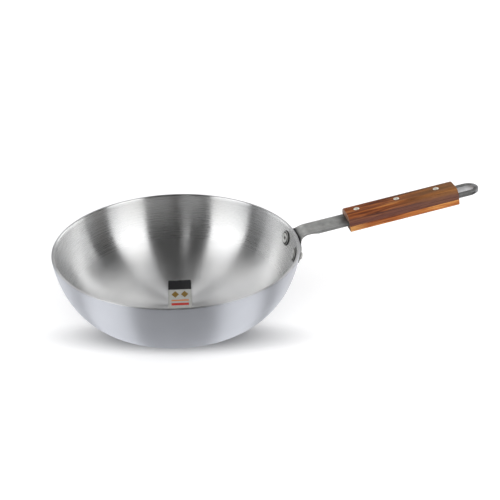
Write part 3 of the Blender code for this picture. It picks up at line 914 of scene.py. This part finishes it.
for finish in (
    tumbled_steel("strap_steel", (0.305, 0.307, 0.30), (0.46, 0.462, 0.45), strap_shade),
    # Painted light on the slot, and painted shade on the loop's face and its outer edge, as tones of one steel.
    tumbled_steel("slot_steel_painted_light", (0.40, 0.40, 0.405), (0.52, 0.52, 0.525)),
    tumbled_steel("loop_steel_painted_shade", (0.20, 0.20, 0.205), (0.28, 0.28, 0.285)),
    tumbled_steel("edge_steel_painted_shade", (0.04, 0.04, 0.04), (0.09, 0.09, 0.09)),
):
    handle.data.materials.append(finish)

# %% Give each face of the loop its tone of painted light and shade
STRAP, SLOT, LOOP, EDGE = 0, 1, 2, 3
EDGE_BAND, SLOT_BAND, HIDDEN = 0.0006, 0.0002, 0.002
to_strap = strap_frame.inverted()
slot_middle = (to_strap @ formed(Vector((SLOT_MIDDLE, 0.0, 0.0)))).x
for face in handle.data.polygons:
    spot = to_strap @ face.center
    from_slot = math.hypot(max(0.0, abs(spot.x - slot_middle) - SLOT_REACH), spot.y)
    if spot.x < GRIP_START + GRIP_LENGTH - HIDDEN:
        face.material_index = STRAP
    elif from_slot < SLOT_HALF + SLOT_BAND:
        face.material_index = SLOT
    elif from_slot > STRAP_HALF - EDGE_BAND:
        face.material_index = EDGE
    else:
        face.material_index = LOOP
for index, finish in enumerate(handle.data.materials):
    print(f"{finish.name}: {sum(face.material_index == index for face in handle.data.polygons)} faces")

# %% [markdown]
# ## Varnished hardwood
# Both strips were sawn from hardwood with long grain. The upper one is red-brown and streaky, turns more olive
# towards the far end, and is dark purple along the lower part of its front, partly its own colour and partly
# painted shade. The lower one is orange and lightest near the bowl. Both have a cut near end of their own tone,
# which is end grain and also painted light on the upper strip and painted shade on the lower one. A photo of
# wood could be wrapped round them, but noise that is stretched along the strap runs through the wood, so the
# figure meets at every edge. A group turns a point into the strap's frame and gives the masks that both woods use.

# %% A node group for wood grain
GRAIN_MASKS = ["Streaks", "Pores", "Lines", "Along", "Across", "Up"]
grain, asked, given = new_group("long_grain", ["Offset"], GRAIN_MASKS, kind="Vector")
level = add_node(grain, "Mapping", {"Vector": coordinates(grain), "Location": tuple(strap_frame.translation),
                                    "Rotation": (0.0, -STRAP_RISE, 0.0)}, vector_type="TEXTURE").outputs[0]
moved = add_node(grain, "VectorMath", {0: level, 1: asked["Offset"]}, operation="ADD").outputs[0]


def stretched_noise(along, across, detail, distortion=0.0):
    """Noise that is drawn out along the strap."""
    drawn = add_node(grain, "Mapping", {"Vector": moved, "Scale": (along, across, across)})
    return noise(grain, drawn.outputs[0], 1.0, detail, distortion)


x, y, z = split(grain, level)
wander = maths(grain, "MULTIPLY", maths(grain, "SUBTRACT", stretched_noise(16.0, 90.0, 2.0), 0.5), 0.012)
masks = [
    stretched_noise(17.0, 260.0, 5.0, 0.8),
    stretched_noise(110.0, 1700.0, 3.0),
    stretched_noise(7.0, 700.0, 2.0),
    x,
    maths(grain, "ADD", y, wander),
    maths(grain, "ADD", z, wander),
]
for name, mask in zip(GRAIN_MASKS, masks):
    grain.links.new(mask, given[name])


# %% What both woods share
def wood(name, stops, offset):
    """Varnished wood whose streaks run through a few tones, given in parts so that more figure can be laid on."""
    material, tree, shader = new_finish(name, Coat_Roughness=0.25, Specular_IOR_Level=0.12)
    figure = add_node(tree, "Group", {"Offset": offset}, node_tree=grain).outputs
    tree.links.new(slope(tree, figure["Pores"], 0.3, 0.7, 0.55, 0.40), shader.inputs["Roughness"])
    tree.links.new(slope(tree, figure["Streaks"], 0.4, 0.7, 0.0, 0.12), shader.inputs["Coat Weight"])
    add_bump(tree, shader, figure["Pores"], 0.25, 0.0002)
    return material, tree, figure, colour_steps(tree, figure["Streaks"], stops)


def finish_wood(material, figure, body, lines, pores, end_grain_and_shading):
    """Lay dark lines, pores and the cut near end over the wood, and give it to the shader."""
    tree = material.node_tree
    first_line, full_line, line_share, line_tone = lines
    mask = slope(tree, figure["Lines"], first_line, full_line, soft=True)
    lined = mix_colours(tree, maths(tree, "MULTIPLY", mask, line_share), body, line_tone)
    pored = colour_steps(tree, figure["Pores"], [(0.30, pores), (0.42, (1.0, 1.0, 1.0))])
    worn = mix_colours(tree, 1.0, lined, pored, "MULTIPLY")
    end_share, end_grain_and_shading_tone = end_grain_and_shading
    # End faces that point at the bowl get their own tone: end grain, with painted light on the upper strip and
    # painted shade on the lower one.
    faces_bowl = slope(tree, split(tree, coordinates(tree, "Normal"))[0], -0.6, -0.9, soft=True)
    ended = mix_colours(tree, maths(tree, "MULTIPLY", faces_bowl, end_share), worn, end_grain_and_shading_tone)
    tree.links.new(ended, tree.nodes["Principled BSDF"].inputs["Base Color"])


# %% The upper strip's wood
red_stops = [(0.33, (0.062, 0.017, 0.008)), (0.45, (0.165, 0.043, 0.012)), (0.55, (0.265, 0.075, 0.018)),
             (0.67, (0.43, 0.17, 0.046))]
red_wood, tree, figure, body = wood("red_brown_wood", red_stops, (0.0, 0.0, 0.0))
far_end = slope(tree, figure["Along"], 0.085, 0.165, soft=True)
olive = mix_colours(tree, maths(tree, "MULTIPLY", far_end, 0.6), body, (0.22, 0.105, 0.032, 1.0))
# The lower front of the upper strip is darker purple: partly the wood's own colour, partly painted shade on a side
# that gets less light.
front = maths(tree, "MULTIPLY", slope(tree, figure["Across"], -0.0095, -0.0135, soft=True),
              slope(tree, figure["Up"], 0.0085, 0.004, soft=True))
heart_and_shade = mix_colours(tree, maths(tree, "MULTIPLY", front, 0.8), olive, (0.115, 0.047, 0.038, 1.0))
finish_wood(red_wood, figure, heart_and_shade, lines=(0.56, 0.64, 0.55, (0.06, 0.024, 0.018, 1.0)),
            pores=(0.6, 0.52, 0.5), end_grain_and_shading=(0.75, (0.33, 0.19, 0.135, 1.0)))
upper.data.materials.append(red_wood)
print(f"{upper.name} has {len(red_wood.node_tree.nodes)} nodes in {red_wood.name}")

# %% The lower strip's wood
orange_stops = [(0.33, (0.14, 0.036, 0.016)), (0.44, (0.32, 0.092, 0.026)), (0.56, (0.46, 0.155, 0.038)),
                (0.68, (0.62, 0.27, 0.075))]
orange_wood, tree, figure, body = wood("orange_wood", orange_stops, (0.31, 0.07, 0.02))
by_bowl = maths(tree, "MULTIPLY", slope(tree, figure["Along"], 0.078, 0.058, soft=True), 0.55)
body = mix_colours(tree, by_bowl, body, (0.76, 0.40, 0.13, 1.0))
finish_wood(orange_wood, figure, body, lines=(0.58, 0.66, 0.4, (0.14, 0.045, 0.02, 1.0)),
            pores=(0.65, 0.55, 0.5), end_grain_and_shading=(0.85, (0.11, 0.055, 0.04, 1.0)))
lower.data.materials.append(orange_wood)
print(f"{lower.name} has {len(orange_wood.node_tree.nodes)} nodes in {orange_wood.name}")

# %% [markdown]
# ## Printed paper
# The label's print is plain shapes of its own: a black band over the top third, two gold lozenges, and an
# orange and a red stripe on silver-grey paper. An image could hold them, but a few comparisons of coordinates
# stay sharp at any distance. A Mapping node reads the label's own frame, so the shapes are straight on it.

# %% The label's paper and its frame
GREY_PAPER, LIGHT_PAPER = (0.33, 0.33, 0.315), (0.42, 0.42, 0.40)
paper, tree, shader = new_finish("printed_paper", Coat_Weight=0.08, Coat_Roughness=0.2, Specular_IOR_Level=0.3)
flat = add_node(tree, "Mapping", {"Vector": coordinates(tree), "Location": (*LABEL_MIDDLE, 0.0),
                                  "Rotation": (0.0, 0.0, LABEL_TURN)}, vector_type="TEXTURE").outputs[0]
x, y, z = split(tree, flat)
fibre = noise(tree, coordinates(tree), 700.0, 3.0)
tree.links.new(slope(tree, fibre, 0.3, 0.7, 0.35, 0.5), shader.inputs["Roughness"])
tone = colour_steps(tree, fibre, [(0.3, GREY_PAPER), (0.7, LIGHT_PAPER)])
label.data.materials.append(paper)
print("paper between", GREY_PAPER, "and", LIGHT_PAPER)

# %% The label's print
BLACK, GOLD = (0.008, 0.008, 0.009, 1.0), (0.17, 0.10, 0.012, 1.0)
ORANGE, RED = (0.50, 0.17, 0.05, 1.0), (0.42, 0.022, 0.015, 1.0)
BAND = (0.0125, 0.0335)
LOZENGE_PLACES, LOZENGE_HEIGHT, LOZENGE_HALF = (-0.0052, 0.0052), 0.002, (0.0042, 0.0072)
STRIPES = [(-0.0125, -0.0095, ORANGE), (-0.0215, -0.0165, RED)]
STRIPE_HALF = 0.0095


def between(value, low, high):
    """1 where a value lies between two bounds, and 0 elsewhere."""
    above = maths(tree, "GREATER_THAN", value, low)
    return maths(tree, "MULTIPLY", above, maths(tree, "LESS_THAN", value, high))


def share_of(value, middle, half):
    """How far a value is from the middle, as a share of the half width."""
    gap = maths(tree, "ABSOLUTE", maths(tree, "SUBTRACT", value, middle))
    return maths(tree, "DIVIDE", gap, half)


tone = mix_colours(tree, between(y, *BAND), tone, BLACK)
for middle in LOZENGE_PLACES:
    reach = maths(tree, "ADD", share_of(x, middle, LOZENGE_HALF[0]), share_of(y, LOZENGE_HEIGHT, LOZENGE_HALF[1]))
    tone = mix_colours(tree, maths(tree, "LESS_THAN", reach, 1.0), tone, GOLD)
for low, high, ink in STRIPES:
    stripe = maths(tree, "MULTIPLY", between(y, low, high), between(x, -STRIPE_HALF, STRIPE_HALF))
    tone = mix_colours(tree, stripe, tone, ink)
tree.links.new(tone, shader.inputs["Base Color"])
print("printed shapes:", 1 + len(LOZENGE_PLACES) + len(STRIPES))

# %% [markdown]
# ## The floor
# The pan stands on a plain white floor, and the photo's floor is pure white with a soft shadow under the pan.
# Strong lamps could make it white, but they would bleach the pan as well. So the floor keeps a mid tone that
# takes the lamps' shadow, and glows a little for the camera alone. The glow is low in an ellipse under the near
# side of the pan, which is a painted shadow, because the real one is wider and softer than these lamps cast.
# What metal mirrors of the floor glows too, and less so near the pan, which is a painted contact shadow.

# %% The floor
FLOOR_TONE = (0.60, 0.60, 0.605, 1.0)
SHADOW_MIDDLE, SHADOW_SIZE = (-0.0054, -0.057, 0.0), (0.167, 0.040, 1.0)
CAMERA_GLOW, MIRROR_GLOW, MIRROR_GLOW_NEAR = 0.55, 0.59, 0.32

deselect_all()
bpy.ops.mesh.primitive_plane_add(size=16.0)
floor = bpy.context.object
floor.name = "studio_floor"
white, tree, shader = new_finish("floor_white", Roughness=0.9, Base_Color=FLOOR_TONE,
                                 Emission_Color=(1.0, 1.0, 1.0, 1.0))
place = coordinates(tree)
# The low glow in this ellipse is a painted shadow under the near side of the pan.
painted_shadow_ellipse = add_node(tree, "Mapping", {"Vector": place, "Location": SHADOW_MIDDLE, "Scale": SHADOW_SIZE,
                                     "Rotation": (0.0, 0.0, CAMERA_TURN)}, vector_type="TEXTURE")
seen = slope(tree, length(tree, painted_shadow_ellipse.outputs[0]), 0.29, 1.02, 0.0, CAMERA_GLOW, soft=True)
# Less glow near the pan, in what metal mirrors, is a painted contact shadow.
mirror_glow_with_painted_shadow = slope(tree, length(tree, place), 0.11, 0.24, MIRROR_GLOW_NEAR, MIRROR_GLOW)
path = add_node(tree, "LightPath").outputs
mirrored = maths(tree, "ADD", path["Is Glossy Ray"], path["Is Transmission Ray"])
glow = maths(tree, "ADD", maths(tree, "MULTIPLY", path["Is Camera Ray"], seen),
             maths(tree, "MULTIPLY", mirrored, mirror_glow_with_painted_shadow))
tree.links.new(glow, shader.inputs["Emission Strength"])
floor.data.materials.append(white)
print("floor:", tuple(round(side, 1) for side in floor.dimensions), "m")

# %% [markdown]
# ## The studio
# Polished metal shows little of its own and much of the room, so the room matters as much as the bowl. It could
# be built of planes. Here the world's background is one, and soft-edged panels are drawn on it by azimuth and
# height in degrees: a low backdrop, a taller panel at each side of it, and walls above them that the bowl's
# floor mirrors. Darker gaps shape its bands, and two narrow slits by the camera give a thin bright double line.
# The space round the camera stays dark, which gives the dark band in the middle of the far wall.
#
# Each kind of ray gets its own share. Mirrors see the panels. The camera, and what shines through, sees plain
# white. All other light is an even fill that is brighter from the front.

# %% A node group for one panel of the studio
PANEL_INPUTS = ["Middle", "Half Width", "Low", "High", "Brightness"]
panel, asked, given = new_group("studio_panel", ["Azimuth", "Height"] + PANEL_INPUTS, ["Light"])


def edge(value, limit, softness):
    """A soft step from 1 below a limit to 0 above it, in degrees."""
    return slope(panel, maths(panel, "SUBTRACT", value, limit), -softness, softness, 1.0, 0.0, soft=True)


turned = maths(panel, "RADIANS", maths(panel, "SUBTRACT", asked["Azimuth"], asked["Middle"]))
away = maths(panel, "DEGREES", maths(panel, "ARCCOSINE", maths(panel, "COSINE", turned)))
in_width = edge(away, asked["Half Width"], 1.5)
above_low = maths(panel, "SUBTRACT", 1.0, edge(asked["Height"], asked["Low"], 2.0))
in_height = maths(panel, "MULTIPLY", above_low, edge(asked["Height"], asked["High"], 4.0))
light = maths(panel, "MULTIPLY", maths(panel, "MULTIPLY", in_width, in_height), asked["Brightness"])
panel.links.new(light, given["Light"])

# %% The room that mirrors see
DARK_ROOM = 0.02
PANELS = {
    "backdrop": (80.0, 100.0, -10.0, 8.0, 1.0),
    "back_right_panel": (24.0, 24.0, -10.0, 20.0, 2.4),
    "back_left_panel": (149.0, 17.0, -10.0, 20.0, 1.5),
    "back_wall_right": (55.0, 20.0, 20.0, 66.0, 1.35),
    "back_wall_gap": (83.0, 8.0, 20.0, 42.0, 0.35),
    "back_wall_left": (118.0, 27.0, 20.0, 66.0, 1.17),
    "left_gap": (180.0, 14.0, -5.0, 66.0, 0.12),
    "left_of_camera_slit": (250.0, 0.6, 28.0, 70.0, 2.7),
    "second_slit": (254.0, 0.4, 28.0, 70.0, 1.4),
}

world = bpy.data.worlds.new("studio")
bpy.context.scene.world = world
world.use_nodes = True
tree = world.node_tree
direction = coordinates(tree, "Generated")
x, y, z = split(tree, direction)
azimuth = maths(tree, "DEGREES", maths(tree, "ARCTAN2", y, x))
height = maths(tree, "DEGREES", maths(tree, "ARCSINE", z))
room = DARK_ROOM
for name, values in PANELS.items():
    sockets = {"Azimuth": azimuth, "Height": height, **dict(zip(PANEL_INPUTS, values))}
    drawn = add_node(tree, "Group", sockets, label=name, node_tree=panel)
    room = maths(tree, "ADD", room, drawn.outputs["Light"])
print("panels of the room:", ", ".join(PANELS))

# %% What each kind of ray gets
FRONT = (-0.095, -0.901, 0.423)
EVEN_FILL, FRONT_FILL = 0.43, 1.5
path = add_node(tree, "LightPath").outputs
from_front = add_node(tree, "VectorMath", {0: direction, 1: FRONT}, operation="DOT_PRODUCT").outputs["Value"]
fill = maths(tree, "ADD", maths(tree, "MULTIPLY", maths(tree, "MAXIMUM", from_front, 0.0), FRONT_FILL), EVEN_FILL)
unseen = add_node(tree, "Mix", {0: path["Is Glossy Ray"], 2: fill, 3: room}, data_type="FLOAT").outputs[0]
seen = maths(tree, "MAXIMUM", path["Is Camera Ray"], path["Is Transmission Ray"])
strength = add_node(tree, "Mix", {0: seen, 2: unseen, 3: 1.0}, data_type="FLOAT").outputs[0]
background = tree.nodes["Background"]
background.inputs["Color"].default_value = (1.0, 1.0, 1.0, 1.0)
tree.links.new(strength, background.inputs["Strength"])
print(f"fill: {EVEN_FILL} all round and {FRONT_FILL} more from the front")

# %% [markdown]
# ## The soft boxes
# Two tall soft boxes stand close by, left and right of the camera. They are area lamps and no panels, because
# their distance makes the bowl's two bright bands spread from the floor up to the lip. No camera sees them, and
# they don't light matt surfaces, which the world's fill already does at a plain level.


# %% Two tall soft boxes
def soft_box(name, place, aim, roll, size, radiance):
    """A rectangular lamp of an even brightness that faces a point and is seen only in mirrors."""
    data = bpy.data.lights.new(name, "AREA")
    data.shape = "RECTANGLE"
    data.size, data.size_y = size
    data.energy = radiance * math.pi * size[0] * size[1]
    lamp = bpy.data.objects.new(name, data)
    lamp.location = place
    facing = (Vector(aim) - Vector(place)).to_track_quat("-Z", "Y").to_matrix()
    lamp.rotation_euler = (facing @ Matrix.Rotation(math.radians(roll), 3, "Z")).to_euler()
    lamp.visible_camera = False
    lamp.visible_diffuse = False
    bpy.context.scene.collection.objects.link(lamp)
    print(f"{name}: {size[0]} x {size[1]} m, {data.energy:.2f} W")


soft_box("left_soft_box", (-0.609, -0.146, 0.804), (-0.028, 0.074, 0.804), 11.0, (0.498, 1.6), 1.9)
soft_box("right_soft_box", (0.572, -0.387, 0.854), (0.052, 0.060, 0.854), -11.0, (0.508, 1.7), 1.9)
